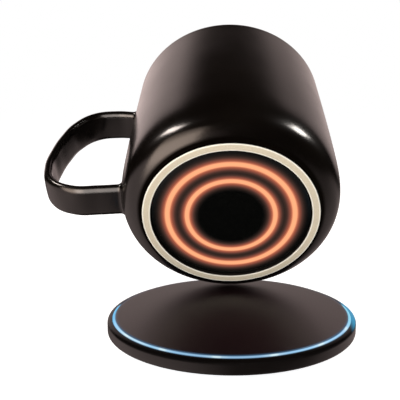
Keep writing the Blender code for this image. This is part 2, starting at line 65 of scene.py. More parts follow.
# Mug: heights are above the plane of the foot ring
MUG_RADIUS = 47.0 * MM
MUG_HEIGHT = 89.9 * MM
RIM_RADIUS = 46.0 * MM
WALL = 4.3 * MM
LIP_RADIUS = 1.6 * MM
WALL_UNEVENNESS = 0.22 * MM
HEEL_HEIGHT = 25.2 * MM
FOOT_OUTER = 36.7 * MM
FOOT_INNER = 33.35 * MM
FOOT_HEIGHT = 2.2 * MM
FOOT_BEVEL = 0.35 * MM
FOOT_TOP_EDGE = 0.1 * MM
WALL_BOTTOM = 0.3 * MM
FLOOR_TOP = 18.7 * MM
FLOOR_CORNER = 11.0 * MM
CAVITY_TOP = 14.1 * MM
CAVITY_RADIUS = 31.6 * MM
COVER_RADIUS = 32.85 * MM
COVER_BOTTOM = 1.2 * MM
COVER_TOP = 3.4 * MM
LEDGE_HEIGHT = 4.7 * MM
GAP = 0.3 * MM
OUTER_GLOW = 26.36 * MM
INNER_GLOW = 18.25 * MM
OUTER_REACH = 5.6 * MM
INNER_REACH = 5.1 * MM
GLOW_WIDTH = 3.0 * MM
GLOW_DEPTH = 0.9 * MM

# Handle: its centre line lies in the plane of the mug's axis
STRAP_WIDTH = 15.3 * MM
STRAP_THICKNESS = 4.0 * MM
STRAP_EDGE = 3.4 * MM
STRAP_CROWN = 0.12 * MM
STRAP_REACH_AND_HEIGHT = [
    (44.3 * MM, 71.7 * MM),
    (55.4 * MM, 73.0 * MM),
    (66.3 * MM, 70.6 * MM),
    (73.9 * MM, 62.1 * MM),
    (77.7 * MM, 51.3 * MM),
    (79.7 * MM, 40.1 * MM),
    (80.1 * MM, 28.5 * MM),
    (76.5 * MM, 17.7 * MM),
    (67.2 * MM, 12.2 * MM),
    (55.6 * MM, 12.2 * MM),
    (44.3 * MM, 13.3 * MM),
]
FACE_STEPS = 12
EDGE_STEPS = 20
CURVE_STEPS = 28
FILLET = 1.6 * MM
FILLET_STEPS = 12
FILLET_RUN = 4.0 * MM
RUN_STEPS = 5
EMBED = 0.2 * MM
HANDLE_UNEVENNESS = 0.05 * MM

# Base: heights are above the surface that it stands on
BASE_RADIUS = 49.5 * MM
BASE_HEIGHT = 6.75 * MM
PAD_RADIUS = 46.6 * MM
PAD_HEIGHT = 0.9 * MM
PLATE_RADIUS = 46.45 * MM
PLATE_STEP = 44.3 * MM
PLATE_BOTTOM = 5.0 * MM
LIGHT_OUTER = 47.45 * MM
LIGHT_SLOPE = 0.5 * MM
LIGHT_TOP = BASE_HEIGHT - 0.1 * MM
LIP_TOP = LIGHT_TOP - LIGHT_SLOPE - 0.05 * MM
BOARD_OUTER = 47.0 * MM
HOUSING_BOTTOM = 0.5 * MM
FLOOR_BOTTOM = 1.2 * MM
FLOOR_HEIGHT = 2.0 * MM
SOCKET_WIDTH = 8.9 * MM
SOCKET_HEIGHT = 3.0 * MM
SOCKET_DEPTH = 7.3 * MM
SOCKET_BOTTOM = 1.7 * MM
SOCKET_FACE_Y = 48.9 * MM
SHELL_WALL = 0.3 * MM
TONGUE_SIZE = (6.7 * MM, 0.7 * MM)
CONTACTS = 12
CONTACT_PITCH = 0.5 * MM
CONTACT_SIZE = (0.26 * MM, 2.6 * MM, 0.06 * MM)

AROUND = 256
SHARP_ANGLE = 32.0
HOUSING_SHARP_ANGLE = 40.0
HANDLE_SHARP_ANGLE = 50.0


# Where the mug stands

TIP_ANGLE = math.radians(-frame["joints"][0]["range_deg"][0])
MUG_AXIS = Vector((0.0, math.sin(TIP_ANGLE), math.cos(TIP_ANGLE)))


def mug_place():
    """Matrix from the upright mug, around the centre of its foot, to its tilted place."""
    low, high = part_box("foot_ring")
    foot = (low + high) / 2 - MUG_AXIS * FOOT_HEIGHT / 2
    return Matrix.Translation(foot) @ Matrix.Rotation(-TIP_ANGLE, 4, "X")


MUG_PLACE = mug_place()


# Camera, room and lamps


def make_camera():
    data = bpy.data.cameras.new("camera")
    data.sensor_width = SENSOR
    data.lens = SENSOR * FOCAL_PIXELS / FRAME_PIXELS
    data.shift_x = (FRAME_PIXELS / 2 - PRINCIPAL_X) / FRAME_PIXELS
    data.clip_start = 10 * MM
    camera = bpy.data.objects.new("camera", data)
    bpy.context.scene.collection.objects.link(camera)
    camera.location = CAMERA_PLACE
    camera.rotation_euler = (math.pi / 2 - CAMERA_PITCH, 0.0, 0.0)
    bpy.context.scene.camera = camera


def add(tree, kind, inputs=(), settings=(), output=0):
    """New node of that kind; an input is a value or another node's output. Returns one output."""
    node = tree.nodes.new(kind)
    for name, value in dict(settings).items():
        setattr(node, name, value)
    for name, value in dict(inputs).items():
        if isinstance(value, bpy.types.NodeSocket):
            tree.links.new(value, node.inputs[name])
        else:
            node.inputs[name].default_value = value
    return node.outputs[output]


def math_node(tree, operation, *values):
    return add(tree, "ShaderNodeMath", enumerate(values), {"operation": operation})


def product(tree, value, *others):
    for other in others:
        value = math_node(tree, "MULTIPLY", value, other)
    return value


def distance(tree, value, other):
    """How far apart two numbers are."""
    return math_node(tree, "ABSOLUTE", math_node(tree, "SUBTRACT", value, other))


def fade(tree, value, start, end, low=0.0, high=1.0):
    """Smooth step from low at start to high at end."""
    inputs = {0: value, 1: start, 2: end, 3: low, 4: high}
    return add(tree, "ShaderNodeMapRange", inputs, {"interpolation_type": "SMOOTHSTEP"})


# What reflections see: a dark warm room with a lit sweep behind the object, and the table top;
# azimuth 0 is behind the object and 90 on its right, in degrees
AMBIENT = 0.22
WHITE = (1.0, 1.0, 1.0, 1.0)
BLACK = (0.0, 0.0, 0.0, 1.0)
WARM = (1.0, 0.80, 0.76, 1.0)
DARK_ROOM = 0.003
HORIZON = -10.0
SIDE_HORIZON = -32.0
HORIZON_DROP = (70.0, 135.0)
HORIZON_SOFT = 6.0
UNDER_END_AND_START = (-62.0, -46.0)
SWEEP_FALLOFF = (15.0, 35.0, 1.0, 0.8)
SWEEP_PATCH = {"middle": 1.0, "half": 42.0, "bottom": -2.0, "top": 42.0, "soft": (5.0, 5.0, 8.0)}
SWEEP_AROUND = [
    (-45, 1.45),
    (-30, 1.38),
    (-20, 1.20),
    (-8, 1.00),
    (8, 0.97),
    (20, 0.82),
    (33, 0.66),
    (45, 0.60),
]
GLINT = 0.8
GLINT_PATCH = {"middle": 12.0, "half": 9.0, "bottom": -30.0, "top": -2.0, "soft": (8.0, 7.0, 6.0)}
TABLE_AROUND = [
    (-180, 0.02),
    (-160, 0.5),
    (-140, 0.95),
    (-110, 1.05),
    (-75, 0.9),
    (-50, 0.5),
    (-30, 0.2),
    (-10, 0.05),
    (20, 0.4),
    (50, 0.55),
    (90, 0.6),
    (110, 0.35),
    (135, 0.25),
    (160, 0.05),
    (180, 0.02),
]
UNDER_AROUND = [
    (-180, 0.5),
    (-120, 0.8),
    (-90, 0.65),
    (-50, 0.3),
    (-30, 0.03),
    (50, 0.02),
    (72, 0.2),
    (110, 0.4),
    (180, 0.5),
]
FLOOR_COLOR = 0.50
FLOOR_LIFT = 0.89
FLOOR_RADIUS = 6.0

# Softboxes on a sphere round the aim: azimuth, elevation, width and height in degrees, how bright
# they look, and colour
LAMP_DISTANCE = 0.8
LAMP_AIM = Vector((0.0, 0.03, 0.05))
LEFT_BOX = (-110, 36.5, 22, 11, 34.0, (1.0, 0.88, 0.81))
RIGHT_BOX = (88, 36, 17, 12, 35.0, (1.0, 0.94, 0.88))
FRONT_FILL = (-172, 4, 60, 26, 5.75, (1.0, 1.0, 1.0))
HANDLE_LIGHT = (-176, -15, 56, 60, 2.4, (1.0, 0.90, 0.84))
HANDLE_LIGHT_MIDDLE = (-176, -15, 48, 42, 4.2, (1.0, 0.90, 0.84))
MIDDLE_IN_FRONT = 0.99

# Bank at the front left: its two ends in X and Y, its layers' bottom, top and brightness
BANK_CORNERS = ((-0.114, -0.335), (-0.327, -0.200))
BANK_LAYERS = [(-0.24, 0.17, 1.9), (-0.18, 0.12, 1.9), (-0.13, 0.07, 2.6)]
BANK_LAYER_STEP = 2 * MM
BANK_COLOR = (1.0, 0.79, 0.65)


def blend(tree, share, low, high):
    """Number from low to high as the share goes from 0 to 1."""
    return add(tree, "ShaderNodeMix", {0: share, 2: low, 3: high})


def mix_color(tree, share, low, high, mode="MIX"):
    settings = {"data_type": "RGBA", "blend_type": mode}
    return add(tree, "ShaderNodeMix", {0: share, 6: low, 7: high}, settings, 2)


def seen_directly(tree):
    """1 for what the eye sees, also through something clear."""
    path = add(tree, "ShaderNodeLightPath").node
    return math_node(
        tree, "MAXIMUM", path.outputs["Is Camera Ray"], path.outputs["Is Transmission Ray"]
    )


def patch(tree, azimuth, elevation, middle, half, bottom, top, soft):
    """1 inside a patch of the sky, in degrees; soft is how far its sides, bottom and top fade."""
    across = distance(tree, azimuth, middle)
    across = fade(tree, across, half - soft[0], half + soft[0], 1.0, 0.0)
    above = fade(tree, elevation, bottom - soft[1], bottom + soft[1])
    below = fade(tree, elevation, top - soft[2], top + soft[2], 1.0, 0.0)
    return product(tree, above, below, across)


def by_azimuth(tree, azimuth, levels):
    """Level that runs through the given ones at their azimuths."""
    turn = math_node(tree, "MULTIPLY_ADD", azimuth, 1 / 360, 0.5)
    stops = [(0.5 + angle / 360, (level / 2, level / 2, level / 2, 1.0)) for angle, level in levels]
    split = add(tree, "ShaderNodeSeparateColor", {0: ramp(tree, turn, stops)})
    return product(tree, split, 2.0)


def studio(tree):
    """How bright the room is in the direction that a reflection looks."""
    split = add(tree, "ShaderNodeSeparateXYZ", {0: add(tree, "ShaderNodeTexCoord")}).node
    around = math_node(tree, "ARCTAN2", split.outputs["X"], split.outputs["Y"])
    azimuth = math_node(tree, "DEGREES", around)
    elevation = math_node(tree, "DEGREES", math_node(tree, "ARCSINE", split.outputs["Z"]))
    table = by_azimuth(tree, azimuth, TABLE_AROUND)
    under = by_azimuth(tree, azimuth, UNDER_AROUND)
    table = blend(tree, fade(tree, elevation, *UNDER_END_AND_START), under, table)
    horizon = fade(tree, azimuth, *HORIZON_DROP, HORIZON, SIDE_HORIZON)
    over = math_node(tree, "SUBTRACT", elevation, horizon)
    level = blend(tree, fade(tree, over, -HORIZON_SOFT, HORIZON_SOFT), table, DARK_ROOM)
    sweep_level = by_azimuth(tree, azimuth, SWEEP_AROUND)
    sweep_level = product(tree, sweep_level, fade(tree, elevation, *SWEEP_FALLOFF))
    level = blend(tree, patch(tree, azimuth, elevation, **SWEEP_PATCH), level, sweep_level)
    return blend(tree, patch(tree, azimuth, elevation, **GLINT_PATCH), level, GLINT)


def make_world():
    """White to the eye, an even soft light to matte surfaces, and the studio to glossy ones."""
    world = bpy.data.worlds.new("studio")
    bpy.context.scene.world = world
    world.use_nodes = True
    tree = world.node_tree
    gloss = add(tree, "ShaderNodeLightPath", output="Is Glossy Ray")
    strength = blend(tree, gloss, AMBIENT, studio(tree))
    strength = blend(tree, seen_directly(tree), strength, 1.0)
    background = tree.nodes["Background"]
    tree.links.new(mix_color(tree, gloss, WHITE, WARM), background.inputs["Color"])
    tree.links.new(strength, background.inputs["Strength"])


def make_floor():
    """White table top that keeps the object's shadow; reflections see the studio's table."""
    mesh = bpy.data.meshes.new("floor")
    shape = bmesh.new()
    bmesh.ops.create_circle(shape, cap_ends=True, radius=FLOOR_RADIUS, segments=64)
    shape.to_mesh(mesh)
    shape.free()
    floor = bpy.data.objects.new("floor", mesh)
    bpy.context.scene.collection.objects.link(floor)
    material, tree = new_material("pale_floor", {
        "Base Color": (FLOOR_COLOR, FLOOR_COLOR, FLOOR_COLOR, 1.0),
        "Roughness": 0.9,
        "Specular IOR Level": 0.0,
        "Emission Color": WHITE,
    })
    drive(tree, Emission_Strength=product(tree, seen_directly(tree), FLOOR_LIFT))
    mesh.materials.append(material)
    floor.visible_glossy = False


def make_lamp(name, azimuth, elevation, width, height, radiance, color):
    """Softbox that faces the object; width and height are the angles that it fills."""
    around, up = math.radians(azimuth), math.radians(elevation)
    away = Vector((math.sin(around) * math.cos(up), math.cos(around) * math.cos(up), math.sin(up)))
    data = bpy.data.lights.new(name, "AREA")
    data.shape = "RECTANGLE"
    data.size = 2 * LAMP_DISTANCE * math.tan(math.radians(width) / 2)
    data.size_y = 2 * LAMP_DISTANCE * math.tan(math.radians(height) / 2)
    data.energy = radiance * math.pi * data.size * data.size_y
    data.color = color
    lamp = bpy.data.objects.new(name, data)
    bpy.context.scene.collection.objects.link(lamp)
    lamp.location = LAMP_AIM + away * LAMP_DISTANCE
    lamp.rotation_euler = (-away).to_track_quat("-Z", "Y").to_euler()
    return lamp


def make_bank():
    """Tall upright softbox close by at the front left, brighter in its middle, for reflections."""
    layers = []
    right, left = (Vector((*corner, 0.0)) for corner in BANK_CORNERS)
    away = Vector((0.0, 0.0, 1.0)).cross(left - right)
    for depth, (bottom, top, radiance) in enumerate(BANK_LAYERS):
        data = bpy.data.lights.new("bank", "AREA")
        data.shape = "RECTANGLE"
        data.size = (left - right).length
        data.size_y = top - bottom
        data.energy = radiance * math.pi * data.size * data.size_y
        data.color = BANK_COLOR
        bank = bpy.data.objects.new("bank", data)
        bpy.context.scene.collection.objects.link(bank)
        bank.location = (left + right) / 2 + Vector((0.0, 0.0, (top + bottom) / 2))
        bank.location -= away.normalized() * depth * BANK_LAYER_STEP
        bank.rotation_euler = (-away).to_track_quat("-Z", "Y").to_euler()
        bank.visible_diffuse = False
        layers.append(bank)
    return layers


def make_lamps():
    """Fill for matte light, and the two softboxes and the bank, which are returned."""
    left = make_lamp("left_box", *LEFT_BOX)
    right = make_lamp("right_box", *RIGHT_BOX)
    fill = make_lamp("front_fill", *FRONT_FILL)
    fill.visible_glossy = False
    return [left, right, *make_bank()]


def make_handle_lamp(handle):
    """Low soft light in front, brighter in its middle, that only the handle's edges show."""
    wide = make_lamp("handle_light", *HANDLE_LIGHT)
    middle = make_lamp("handle_light", *HANDLE_LIGHT_MIDDLE)
    middle.location = middle.location * MIDDLE_IN_FRONT
    for lamp in (wide, middle):
        lamp.visible_diffuse = False
    link_light([wide, middle], [handle], "INCLUDE")


# Materials


def srgb(red, green, blue):
    """Colour as a picture shows it, from 0 to 255, as the light that makes it."""
    values = []
    for value in (red, green, blue):
        share = value / 255.0
        values.append(share / 12.92 if share <= 0.04045 else ((share + 0.055) / 1.055) ** 2.4)
    return (*values, 1.0)


def new_material(name, inputs):
    material = bpy.data.materials.new(name)
    material.use_nodes = True
    tree = material.node_tree
    for socket, value in inputs.items():
        tree.nodes["Principled BSDF"].inputs[socket].default_value = value
    return material, tree


def drive(tree, **outputs):
    """Links outputs to the shader's sockets, named with _ for each space."""
    surface = tree.nodes["Principled BSDF"]
    for name, value in outputs.items():
        tree.links.new(value, surface.inputs[name.replace("_", " ")])


def place_in_object(tree):
    return add(tree, "ShaderNodeTexCoord", output="Object")


def axes(tree):
    """X, Y and Z of the place in the piece's own axes, by name."""
    return add(tree, "ShaderNodeSeparateXYZ", {0: place_in_object(tree)}).node.outputs


def noise(tree, scale, detail=2.0, roughness=0.5, stretch=None):
    """Cloudy pattern from 0 to 1; scale is in features per metre."""
    place = place_in_object(tree)
    if stretch:
        place = add(tree, "ShaderNodeMapping", {"Vector": place, "Scale": stretch})
    inputs = {"Vector": place, "Scale": scale, "Detail": detail, "Roughness": roughness}
    return add(tree, "ShaderNodeTexNoise", inputs)


def ramp(tree, factor, stops):
    """Colour that runs through stops of (position, colour)."""
    node = tree.nodes.new("ShaderNodeValToRGB")
    node.color_ramp.interpolation = "LINEAR"
    elements = node.color_ramp.elements
    for _ in range(len(stops) - 2):
        elements.new(0.5)
    for element, (position, color) in zip(elements, stops):
        element.position = position
        element.color = color
    tree.links.new(factor, node.inputs["Fac"])
    return node.outputs["Color"]


def span(tree, factor, low, high):
    """Number from low to high as the factor goes from 0.3 to 0.7, where noise mostly lies."""
    return add(tree, "ShaderNodeMapRange", {0: factor, 1: 0.3, 2: 0.7, 3: low, 4: high})


def bump(tree, height, depth, below=None):
    """Normal of a surface that a pattern raises by up to the depth, over another one below it."""
    inputs = {"Height": height, "Distance": depth, "Strength": 1.0}
    if below:
        inputs["Normal"] = below
    return add(tree, "ShaderNodeBump", inputs)


def radius_from_axis(tree):
    """Distance from the piece's own Z axis."""
    flatten = {0: place_in_object(tree), 1: (1.0, 1.0, 0.0)}
    flat = add(tree, "ShaderNodeVectorMath", flatten, {"operation": "MULTIPLY"})
    return add(tree, "ShaderNodeVectorMath", {0: flat}, {"operation": "LENGTH"}, "Value")


def glaze(unevenness):
    """Dark brown satin glaze, faintly uneven by a height, and wiped off beside the foot."""
    material, tree = new_material("glaze_finish", {"IOR": 1.46})
    pooled = noise(tree, 38.0, 3.0)
    color = ramp(tree, pooled, [(0.30, srgb(6, 4, 3)), (0.70, srgb(11, 8, 6))])
    peel = noise(tree, 900.0, 2.0)
    waves = noise(tree, 32.0, 1.0, stretch=(1.0, 1.0, 0.45))
    normal = bump(tree, peel, 0.010 * MM, bump(tree, waves, unevenness))
    gloss = fade(tree, axes(tree)["Z"], 1.9 * MM, 2.5 * MM, 0.0, 0.5)
    drive(tree, Base_Color=color, Roughness=span(tree, noise(tree, 60.0), 0.18, 0.23))
    drive(tree, Normal=normal, Specular_IOR_Level=gloss)
    return material


def foot_rubber():
    """Cream silicone with a fine tooth, with painted highlights along its edges and painted shade
    on its side walls.
    """
    material, tree = new_material("foot_rubber_finish", {"Specular IOR Level": 0.4})
    from_middle = distance(tree, radius_from_axis(tree), (FOOT_OUTER + FOOT_INNER) / 2)
    edge = (FOOT_OUTER - FOOT_INNER) / 2
    # Painted highlight: the bevels of both edges turn near white
    painted_edge_highlight = fade(tree, from_middle, edge - 0.75 * MM, edge - 0.45 * MM)
    # Painted shade: the ring's inner and outer side walls turn dark
    side = fade(tree, from_middle, edge - 0.06 * MM, edge - 0.01 * MM)
    tooth = noise(tree, 1500.0, 3.0, 0.7)
    face = ramp(tree, tooth, [(0.30, srgb(217, 203, 176)), (0.70, srgb(232, 219, 193))])
    color = mix_color(tree, painted_edge_highlight, face, srgb(252, 246, 230))
    color = mix_color(tree, side, color, srgb(24, 21, 18))
    drive(tree, Base_Color=color, Roughness=span(tree, tooth, 0.50, 0.62))
    drive(tree, Normal=bump(tree, tooth, 0.02 * MM))
    return material


def glow_color(tree):
    """Orange light of the two rings, each by the distance from its middle line."""
    radius = radius_from_axis(tree)
    total = None
    for middle, reach in ((OUTER_GLOW, OUTER_REACH), (INNER_GLOW, INNER_REACH)):
        share = math_node(tree, "DIVIDE", distance(tree, radius, middle), reach)
        color = ramp(tree, share, [
            (0.00, srgb(255, 180, 131)),
            (0.14, srgb(253, 174, 126)),
            (0.18, srgb(230, 146, 108)),
            (0.24, srgb(184, 102, 75)),
            (0.33, srgb(152, 83, 64)),
            (0.43, srgb(120, 69, 57)),
            (0.53, srgb(82, 52, 45)),
            (0.63, srgb(57, 39, 33)),
            (0.75, srgb(33, 23, 20)),
            (0.88, srgb(13, 9, 8)),
            (1.00, BLACK),
        ])
        total = color if total is None else mix_color(tree, 1.0, total, color, "ADD")
    return total


def smoked_cover():
    """Black gloss plastic with the orange light of the two rings from below painted on it."""
    material, tree = new_material("smoked_cover_finish", {"IOR": 1.46, "Emission Strength": 1.0})
    grain = noise(tree, 700.0)
    drive(tree, Base_Color=ramp(tree, grain, [(0.3, srgb(5, 7, 6)), (0.7, srgb(9, 10, 9))]))
    # Painted glow of the two rings on the cover, as emission fading from each ring's middle
    drive(tree, Roughness=span(tree, grain, 0.20, 0.26), Emission_Color=glow_color(tree))
    return material


def ring_light():
    """Frosted orange diffuser, brightest along its middle."""
    material, tree = new_material("ring_light_finish", {
        "Base Color": srgb(60, 30, 20),
        "Emission Strength": 1.0,
    })
    frost = noise(tree, 900.0, 3.0)
    drive(tree, Roughness=span(tree, frost, 0.30, 0.42), Emission_Color=glow_color(tree))
    drive(tree, Normal=bump(tree, frost, 0.01 * MM))
    return material


# The blue line and the light that it throws on its neighbours


def chip_angles():
    """Where the base's light chips stand, as angles round the base's axis."""
    angles = []
    for name in sorted(frame["nodes"]):
        if name.startswith("led_chip_"):
            low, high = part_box(name)
            middle = (low + high) / 2
            angles.append(math.atan2(middle.y, middle.x))
    return sorted(angles)


def hot_spots(tree):
    """1 beside a light chip, falling to 0 between two of them."""
    place = axes(tree)
    angle = math_node(tree, "ARCTAN2", place["Y"], place["X"])
    angles = chip_angles()
    phase = math_node(tree, "SUBTRACT", angle, angles[0])
    step = min(after - before for before, after in zip(angles, angles[1:]))
    wave = math_node(tree, "COSINE", product(tree, phase, math.tau / step))
    core = product(tree, fade(tree, wave, 0.80, 1.0), 0.65)
    halo = product(tree, fade(tree, wave, -0.1, 1.0), 0.35)
    uneven = span(tree, noise(tree, 45.0, 0.0), 0.75, 1.0)
    return product(tree, math_node(tree, "ADD", core, halo), uneven)


def light_guide():
    """Frosted guide: blue, paler beside each chip and towards both sides, dark at the back."""
    material, tree = new_material("light_guide_finish", {
        "Base Color": srgb(12, 15, 18),
        "Roughness": 0.45,
        "Specular IOR Level": 0.1,
        "Emission Strength": 1.0,
    })
    across = math_node(tree, "DIVIDE", axes(tree)["X"], LIGHT_OUTER)
    aside = math_node(tree, "ABSOLUTE", across)
    back = math_node(tree, "DIVIDE", axes(tree)["Y"], LIGHT_OUTER)

    def tint(share, below, *color):
        return mix_color(tree, share, below, srgb(*color))

    # From the front to both sides, then the right, the far left and the palest stretch
    line = tint(fade(tree, aside, 0.15, 0.80), srgb(148, 188, 222), 146, 206, 246)
    line = tint(fade(tree, across, 0.10, 0.75), line, 164, 212, 248)
    line = tint(fade(tree, across, -0.93, -0.99), line, 104, 192, 238)
    pale = fade(tree, distance(tree, across, -0.76), 0.06, 0.20, 1.0, 0.0)
    line = tint(product(tree, pale, 0.6), line, 214, 240, 255)
    line = tint(fade(tree, across, 0.90, 0.97), line, 140, 212, 238)

    # Hot spots in front, and darker edges of the line
    spots = product(tree, hot_spots(tree), fade(tree, aside, 0.88, 0.95, 1.0, 0.0))
    line = tint(spots, line, 222, 247, 255)
    off_middle = distance(tree, radius_from_axis(tree), LIGHT_OUTER - 0.33 * MM)
    edge = fade(tree, off_middle, 0.13 * MM, 0.45 * MM)
    edge = product(tree, edge, fade(tree, aside, 0.80, 0.96, 0.85, 0.15))
    line = tint(edge, line, 34, 74, 104)
    drive(tree, Emission_Color=tint(fade(tree, back, 0.10, 0.20), line, 0, 0, 0))
    return material


def spill(tree, edge, reach):
    """Blue light painted beside the guide as a glow, fading away from its edge; inwards if the
    reach is negative.
    """
    away = math_node(tree, "SUBTRACT", radius_from_axis(tree), edge)
    return ramp(tree, math_node(tree, "DIVIDE", away, reach), [
        (0.0, srgb(46, 84, 112)),
        (0.25, srgb(24, 44, 62)),
        (0.60, srgb(8, 15, 22)),
        (1.0, BLACK),
    ])


def leak(tree):
    """Teal light, painted on, that escapes over the housing's shoulder on one side, from 0 to 1."""
    place = axes(tree)
    right = fade(tree, math_node(tree, "DIVIDE", place["X"], BASE_RADIUS), 0.89, 0.96)
    front = fade(tree, place["Y"], 10 * MM, 16 * MM, 1.0, 0.0)
    high = fade(tree, place["Z"], 4.8 * MM, 5.7 * MM)
    return product(tree, right, front, high)


def plate_finish():
    """Satin top, near black with a plum tinge and a very fine grain, with blue light painted at its
    edge.
    """
    material, tree = new_material("plate_finish", {"IOR": 1.36, "Emission Strength": 1.0})
    grain = noise(tree, 2200.0, 3.0, 0.6)
    cloud = noise(tree, 26.0, 2.0)
    color = ramp(tree, cloud, [(0.3, srgb(14, 3, 6)), (0.7, srgb(19, 6, 9))])
    drive(tree, Base_Color=color, Roughness=span(tree, grain, 0.34, 0.42))
    drive(tree, Normal=bump(tree, grain, 0.004 * MM))
    # Painted glow of the blue guide light, fading inwards from the plate's edge
    drive(tree, Emission_Color=spill(tree, PLATE_RADIUS, -1.5 * MM))
    return material


def housing_finish():
    """Satin moulded housing, a shade greyer than the top and dull at its two edges, with blue and
    teal light painted on.
    """
    material, tree = new_material("housing_finish", {"IOR": 1.45, "Emission Strength": 1.0})
    grain = noise(tree, 1800.0, 3.0, 0.6)
    cloud = noise(tree, 30.0, 2.0)
    color = ramp(tree, cloud, [(0.3, srgb(13, 10, 9)), (0.7, srgb(19, 15, 14))])
    height = axes(tree)["Z"]
    gloss = fade(tree, height, 0.7 * MM, 1.5 * MM, 0.0, 0.5)
    gloss = product(tree, gloss, fade(tree, height, 5.0 * MM, 5.6 * MM, 1.0, 0.15))
    # Painted glow: blue beside the guide, and teal over the shoulder on one side
    light = mix_color(tree, leak(tree), spill(tree, LIGHT_OUTER, 0.7 * MM), srgb(24, 140, 182))
    drive(tree, Base_Color=color, Roughness=span(tree, grain, 0.28, 0.35))
    drive(tree, Normal=bump(tree, grain, 0.006 * MM), Specular_IOR_Level=gloss)
    drive(tree, Emission_Color=light)
    return material


def grained(name, dark, light, roughness, scale, depth=0.0, metallic=0.0, stretch=None):
    """Plain finish with a fine grain in its colour, gloss and surface."""
    material, tree = new_material(name, {"Metallic": metallic})
    grain = noise(tree, scale, 3.0, 0.6, stretch)
    drive(tree, Base_Color=ramp(tree, grain, [(0.3, srgb(*dark)), (0.7, srgb(*light))]))
    drive(tree, Roughness=span(tree, grain, roughness - 0.05, roughness + 0.05))
    if depth:
        drive(tree, Normal=bump(tree, grain, depth))
    return material


def circuit_board():
    """Green solder mask over fine copper tracks, with tinned pads."""
    material, tree = new_material("circuit_board_finish", {})
    place = place_in_object(tree)
    waves = {"Vector": place, "Scale": 260.0, "Distortion": 9.0, "Detail": 1.0}
    tracks = add(tree, "ShaderNodeTexWave", waves, output=1)
    mask = ramp(tree, tracks, [
        (0.42, srgb(18, 84, 48)),
        (0.46, srgb(34, 116, 66)),
        (0.60, srgb(34, 116, 66)),
        (0.64, srgb(18, 84, 48)),
    ])
    cells = add(tree, "ShaderNodeTexVoronoi", {"Vector": place, "Scale": 420.0})
    pad = add(tree, "ShaderNodeMapRange", {0: cells, 1: 0.16, 2: 0.20, 3: 1.0, 4: 0.0})
    drive(tree, Base_Color=mix_color(tree, pad, mask, srgb(176, 172, 160)))
    drive(tree, Roughness=span(tree, tracks, 0.28, 0.40), Normal=bump(tree, tracks, 0.03 * MM))
    return material


# Meshes


def finish_mesh(name, shape, material, place=None, sharp=SHARP_ANGLE):
    """Object of a bmesh, shaded smooth up to the sharp angle in degrees."""
    bmesh.ops.recalc_face_normals(shape, faces=shape.faces)
    mesh = bpy.data.meshes.new(name)
    shape.to_mesh(mesh)
    shape.free()
    mesh.materials.append(material)
    mesh.shade_smooth()
    mesh.set_sharp_from_angle(angle=math.radians(sharp))
    piece = bpy.data.objects.new(name, mesh)
    bpy.context.scene.collection.objects.link(piece)
    if place is not None:
        piece.matrix_world = place
    return piece


def arc(centre, radius, start, end, steps):
    """Points on a circle from one angle to another, in degrees."""
    points = []
    for step in range(steps + 1):
        angle = math.radians(start + (end - start) * step / steps)
        spoke = (radius * math.cos(angle), radius * math.sin(angle))
        points.append(Vector((centre[0] + spoke[0], centre[1] + spoke[1])))
    return points


def bezier(first, first_handle, second_handle, second, steps):
    """Points along one cubic curve, without its first one."""
    points = []
    for step in range(1, steps + 1):
        t = step / steps
        weights = ((1 - t) ** 3, 3 * t * (1 - t) ** 2, 3 * t * t * (1 - t), t ** 3)
        corners = (first, first_handle, second_handle, second)
        points.append(sum((Vector(c) * w for c, w in zip(corners, weights)), Vector((0, 0))))
    return points


def rounded(corners, steps):
    """Closed outline through rounded corners, each of them (x, z, radius)."""
    outline = []
    for index, corner in enumerate(corners):
        radius = corner[2]
        middle = Vector(corner[:2])
        back = (Vector(corners[index - 1][:2]) - middle).normalized()
        ahead = (Vector(corners[(index + 1) % len(corners)][:2]) - middle).normalized()
        angle = back.angle(ahead)
        centre = middle + (back + ahead).normalized() * radius / math.sin(angle / 2)
        start = middle + back * radius / math.tan(angle / 2) - centre
        end = middle + ahead * radius / math.tan(angle / 2) - centre
        sweep = math.pi - angle
        for step in range(steps + 1):
            share = step / steps
            spoke = start * math.sin((1 - share) * sweep) + end * math.sin(share * sweep)
            outline.append(centre + spoke / math.sin(sweep))
    return outline


def turned(name, outline, material, place=None, sharp=SHARP_ANGLE):
    """Solid turned about Z. An outline from axis to axis is closed by it, any other by itself."""
    shape = bmesh.new()
    open_outline = outline[0][0] == 0.0
    rings = []
    for x, z in outline:
        if x == 0.0:
            rings.append([shape.verts.new((0.0, 0.0, z))])
            continue
        ring = []
        for index in range(AROUND):
            angle = math.tau * index / AROUND
            ring.append(shape.verts.new((x * math.cos(angle), x * math.sin(angle), z)))
        rings.append(ring)
    pairs = list(zip(rings, rings[1:]))
    if not open_outline:
        pairs.append((rings[-1], rings[0]))
    for upper, lower in pairs:
        for index in range(AROUND):
            following = (index + 1) % AROUND
            corners = [upper[index % len(upper)], upper[following % len(upper)]]
            corners += [lower[following % len(lower)], lower[index % len(lower)]]
            shape.faces.new(dict.fromkeys(corners))
    return finish_mesh(name, shape, material, place, sharp)


def wall_outline():
    """The mug's outer wall, from just under the lip to the edge of the foot."""
    lip = (RIM_RADIUS, MUG_HEIGHT - WALL / 2)
    heel_top = (MUG_RADIUS, HEEL_HEIGHT)
    neck = (FOOT_OUTER + 1.2 * MM, 1.9 * MM)
    side = (FOOT_OUTER + 0.95 * MM, 1.3 * MM)
    edge = 0.2 * MM
    wall = [Vector(lip)]
    wall += bezier(lip, (46.5 * MM, 67.0 * MM), (MUG_RADIUS, 46.0 * MM), heel_top, 24)
    wall += bezier(heel_top, (MUG_RADIUS, 8.6 * MM), (46.1 * MM, 4.6 * MM), neck, 40)
    wall += bezier(neck, (FOOT_OUTER + 1.0 * MM, 1.8 * MM), side, (side[0], 0.9 * MM), 5)
    wall += arc((side[0] - edge, WALL_BOTTOM + edge), edge, 0, -90, 3)
    return wall


